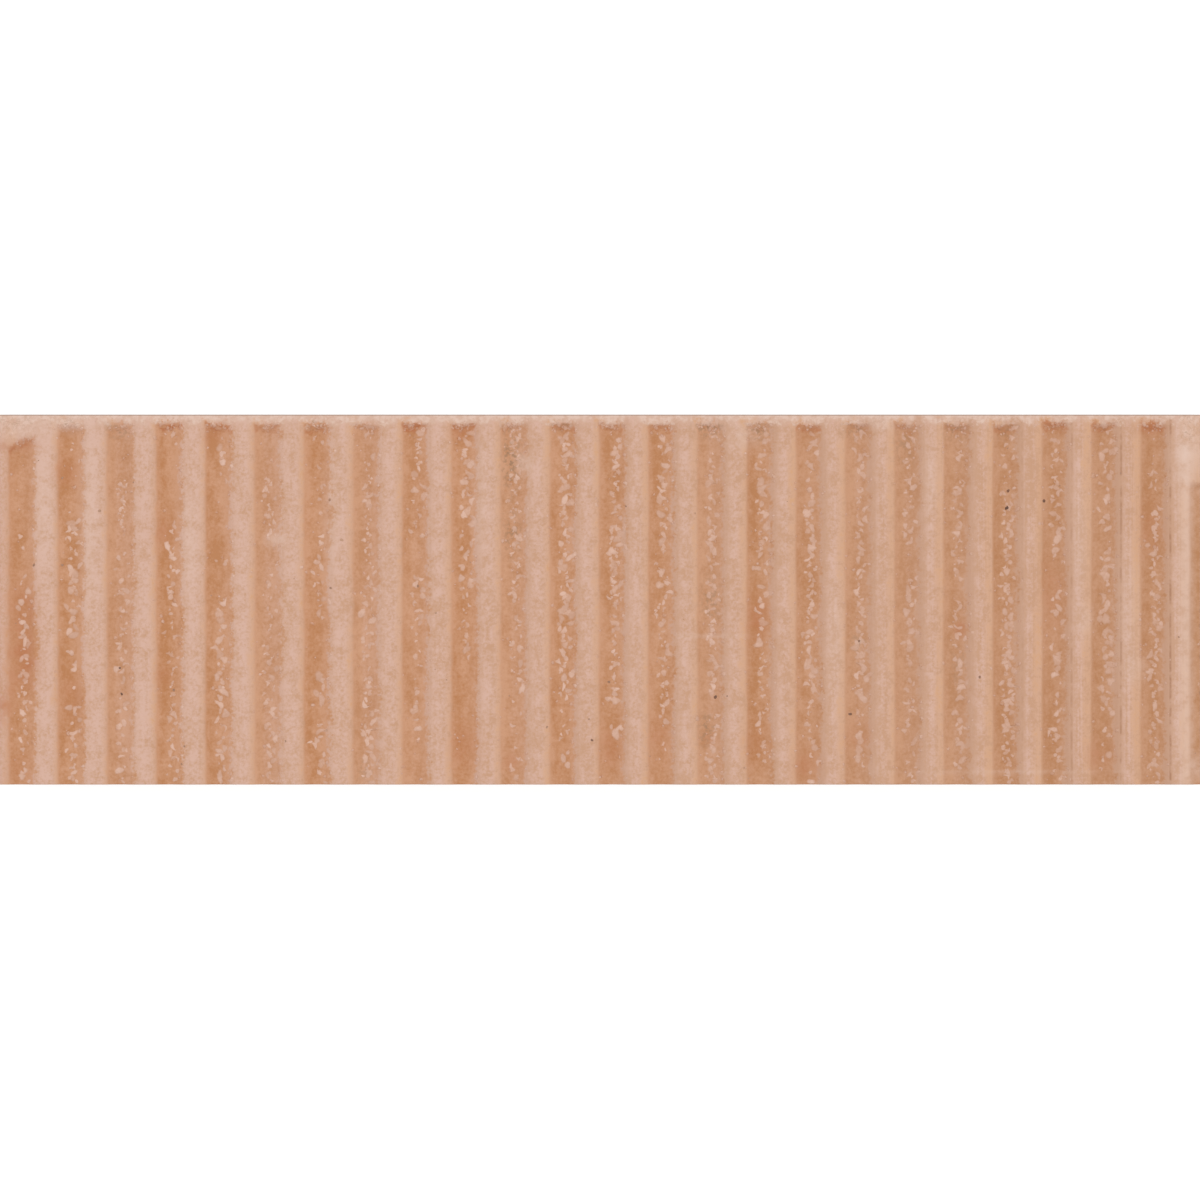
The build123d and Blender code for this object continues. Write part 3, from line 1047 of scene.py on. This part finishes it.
def slip_piece(name, blobs, around, tone, veil, settings, draw):
    """A piece of slip blobs on the tile, each covered by slip on its crown and ringed at its edge by darker
    glaze: painted shade at the blob's foot, and glaze pooled there. The glaze veils the slip of a blob by
    up to the veil's share. Slip is duller towards the right of the tile."""
    dull_start, dull_reach, most_dulled = -10.0 * MM, 70.0 * MM, 0.45
    dulled = 1.0 - most_dulled * ease((blobs.x - dull_start) / dull_reach)
    points = blob_points(blobs, around, settings.flute, draw)
    count, size = points.shape[:2]
    piece = new_piece(name, points.reshape(-1, 3), *blob_faces(count, around))
    paint_glaze(piece.data, points.reshape(-1, 3), settings.flute)
    cover = np.repeat((1.0, SHOULDER_COVER, 0.0), (1, around, around + 1))
    # Edge ring and root of each blob, where the glaze is darkened as painted shade at its foot
    edge = np.repeat((0.0, 1.0), around + 1)
    strength = 1.0 - veil * draw.uniform(0.0, 1.0, (count, 1))
    paint(
        piece.data,
        slip_cover=(strength * cover).ravel(),
        slip_edge=(strength * edge).ravel(),
        slip_tone=np.repeat(tone * dulled, size),
    )
    dress(piece, bpy.data.materials[GLAZE_NAME])


class TILE_OT_body(bpy.types.Operator):
    """Builds the tile's skin: fluted face, worn sides, bevel and keyed back"""

    bl_idname = "fluted_tile.body"
    bl_label = "Tile body"

    def execute(self, context):
        settings = context.scene.fluted_tile
        flute, back = settings.flute, settings.back
        underside = back_points(back)
        back_rows, back_columns = underside.shape[:2]
        columns = FACE_COLUMNS_PER_BACK_COLUMN * (back_columns - 1)
        rows = FACE_ROWS_PER_BACK_ROW * (back_rows - 1)
        face = face_points(columns, rows, flute)
        loop = border_loop(rows + 1, columns + 1)
        face = face.reshape(-1, 3)
        rings = side_rings(face[loop], back.bevel)
        underside = underside.reshape(-1, 3)
        points = np.concatenate((face, rings.reshape(-1, 3), underside))

        ring_numbers = len(face) + np.arange(rings.shape[0] * len(loop)).reshape(rings.shape[0], -1)
        levels = [loop, *ring_numbers]
        sides = np.concatenate([ring_quads(upper, lower) for upper, lower in zip(levels[:-1], levels[1:])])
        back_start = len(face) + ring_numbers.size
        back_loop = back_start + border_loop(back_rows, back_columns)
        along = (back_columns - 1, FACE_COLUMNS_PER_BACK_COLUMN)
        across = (back_rows - 1, FACE_ROWS_PER_BACK_ROW)
        bevel = bevel_triangles(levels[-1], back_loop, (along, across, along, across))
        bed = grid_quads(back_rows, back_columns, back_start)[:, ::-1]
        quads = np.concatenate((grid_quads(rows + 1, columns + 1), sides, bed))

        body = new_piece("fluted_tile", points, quads, bevel)
        paint_glaze(body.data, points, flute)
        dress(body, glaze_finish(settings))
        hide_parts("tile")
        return {"FINISHED"}


class TILE_OT_flecks(bpy.types.Operator):
    """Lays flecks of slip down the grooves"""

    bl_idname = "fluted_tile.flecks"
    bl_label = "Slip flecks"

    def execute(self, context):
        settings = context.scene.fluted_tile
        flute, slip = settings.flute, settings.slip
        draw = np.random.default_rng(slip.seed)
        flecks = joined(*(
            fleck_run(LEFT + flute.first_inset + groove * flute.pitch, run, slip, draw)
            for groove, runs in enumerate(FLECK_RUNS)
            for run in runs
        ))
        flecks = joined(flecks, side_branches(flecks, slip, draw))
        tone = draw.beta(*FLECK_TONES, len(flecks.x))
        slip_piece("slip_flecks", flecks, FLECK_POINTS_AROUND, tone, FLECK_VEIL, settings, draw)
        return {"FINISHED"}


class TILE_OT_crumbs(bpy.types.Operator):
    """Strews crumbs of slip over the grooves, the ridges' lips and the rim"""

    bl_idname = "fluted_tile.crumbs"
    bl_label = "Slip crumbs"

    def execute(self, context):
        settings = context.scene.fluted_tile
        draw = np.random.default_rng(settings.slip.seed + 1)
        crumbs = slip_crumbs(settings.flute, settings.slip, draw)
        tone = draw.beta(*CRUMB_TONES, len(crumbs.x))
        slip_piece("slip_crumbs", crumbs, CRUMB_POINTS_AROUND, tone, CRUMB_VEIL, settings, draw)
        return {"FINISHED"}


class TILE_OT_specks(bpy.types.Operator):
    """Sets iron specks in the glaze"""

    bl_idname = "fluted_tile.specks"
    bl_label = "Iron specks"

    def execute(self, context):
        settings = context.scene.fluted_tile
        draw = np.random.default_rng(settings.slip.seed + 2)
        specks, faint = iron_specks(draw)
        points = blob_points(specks, CRUMB_POINTS_AROUND, settings.flute, draw)
        faces = blob_faces(len(points), CRUMB_POINTS_AROUND)
        piece = new_piece("iron_specks", points.reshape(-1, 3), *faces)
        paint(piece.data, faint=np.repeat(faint, points.shape[1]))
        dress(piece, speck_finish(settings.colours))
        return {"FINISHED"}


def seen_directly(tree):
    """1 for rays from the camera, mirrors and glass, and 0 for light that falls on the tile."""
    path = add_node(tree, "ShaderNodeLightPath", {})
    seen = reckon(tree, "MAXIMUM", path.outputs["Is Camera Ray"], path.outputs["Is Glossy Ray"])
    return reckon(tree, "MAXIMUM", seen, path.outputs["Is Transmission Ray"])


def floor_finish(stage):
    """Pale floor that shows white to the camera and keeps the tile's shadow."""
    material = bpy.data.materials.new("white_floor")
    material.use_nodes = True
    tree = material.node_tree
    tree.nodes.clear()
    grey = (stage.floor, stage.floor, stage.floor, 1.0)
    matt = add_node(tree, "ShaderNodeBsdfDiffuse", {"Color": grey})
    strength = reckon(tree, "MULTIPLY", seen_directly(tree), stage.floor_glow)
    glow = add_node(tree, "ShaderNodeEmission", {"Strength": strength})
    both = add_node(tree, "ShaderNodeAddShader", {0: matt.outputs[0], 1: glow.outputs[0]})
    add_node(tree, "ShaderNodeOutputMaterial", {"Surface": both.outputs[0]})
    return material


def sky(stage):
    """Even light all round, which the camera sees as plain white."""
    world = bpy.data.worlds.new("even_sky")
    world.use_nodes = True
    tree = world.node_tree
    tree.nodes.clear()
    white = (1.0, 1.0, 1.0, 1.0)
    light = add_node(tree, "ShaderNodeBackground", {"Color": white, "Strength": stage.sky})
    shown = add_node(tree, "ShaderNodeBackground", {"Color": white, "Strength": 1.0})
    inputs = {0: seen_directly(tree), 1: light.outputs[0], 2: shown.outputs[0]}
    both = add_node(tree, "ShaderNodeMixShader", inputs)
    add_node(tree, "ShaderNodeOutputWorld", {"Surface": both.outputs[0]})
    return world


def overhead_camera(stage):
    """Camera straight above, so far that the frame is as wide as the tile without its worn edges."""
    worn_edges = 0.25 * MM
    camera = bpy.data.cameras.new("camera")
    camera.lens = stage.lens
    distance = (LENGTH - worn_edges) * stage.lens / camera.sensor_width
    face_middle = PHOTO_RIM_ROW + 0.5 * WIDTH / PIXEL
    holder = bpy.data.objects.new("camera", camera)
    holder.location = (0.0, (face_middle - PHOTO_SIZE / 2) * PIXEL, TOP + distance)
    return holder


def soft_lamp(stage):
    """Large square lamp high above the tile's rimmed side, turned towards it."""
    lamp = bpy.data.lights.new("soft_lamp", "AREA")
    lamp.energy = stage.lamp
    lamp.size = LAMP_SIDE
    holder = bpy.data.objects.new("soft_lamp", lamp)
    x, y, z = LAMP_PLACE
    holder.location = LAMP_PLACE
    holder.rotation_euler = (np.arctan2(np.hypot(x, y), z), 0.0, np.arctan2(x, -y))
    return holder


class TILE_OT_stage(bpy.types.Operator):
    """Sets the floor, soft light and camera"""

    bl_idname = "fluted_tile.stage"
    bl_label = "Stage"

    def execute(self, context):
        scene = context.scene
        stage = scene.fluted_tile.stage
        corners = FLOOR_HALF * np.array(((-1, -1, 0), (1, -1, 0), (1, 1, 0), (-1, 1, 0)))
        floor = new_piece("floor", corners, np.array(((0, 1, 2, 3),)))
        floor.data.materials.append(floor_finish(stage))
        camera = overhead_camera(stage)
        lamp = soft_lamp(stage)
        scene.collection.objects.link(camera)
        scene.collection.objects.link(lamp)
        scene.camera = camera
        scene.world = sky(stage)
        scene.view_settings.view_transform = "Standard"
        return {"FINISHED"}


class TILE_PT_panel(bpy.types.Panel):
    """Lists the tile's settings and the operators that build it"""

    bl_idname = "TILE_PT_panel"
    bl_label = "Fluted Matt Tile"
    bl_space_type = "VIEW_3D"
    bl_region_type = "UI"
    bl_category = "Tile"

    def draw(self, context):
        settings = context.scene.fluted_tile
        for name in ("flute", "back", "slip", "colours", "stage"):
            box = self.layout.box()
            box.label(text=name.capitalize())
            group = getattr(settings, name)
            for key in group.__annotations__:
                box.prop(group, key)
        for operator in OPERATORS:
            self.layout.operator(operator.bl_idname)


OPERATORS = (TILE_OT_body, TILE_OT_flecks, TILE_OT_crumbs, TILE_OT_specks, TILE_OT_stage)
SETTINGS = (FluteSettings, BackSettings, SlipSettings, ColourSettings, StageSettings, TileSettings)
CLASSES = (*SETTINGS, *OPERATORS, TILE_PT_panel)


def register():
    """Registers the classes, and gives the scene its settings."""
    for made in CLASSES:
        bpy.utils.register_class(made)
    bpy.types.Scene.fluted_tile = PointerProperty(type=TileSettings)


def unregister():
    """Takes the settings and classes away again."""
    del bpy.types.Scene.fluted_tile
    for made in reversed(CLASSES):
        bpy.utils.unregister_class(made)


def main():
    register()
    bpy.ops.fluted_tile.body()
    bpy.ops.fluted_tile.flecks()
    bpy.ops.fluted_tile.crumbs()
    bpy.ops.fluted_tile.specks()
    bpy.ops.fluted_tile.stage()
    bpy.context.view_layer.update()


if __name__ == "__main__":
    main()
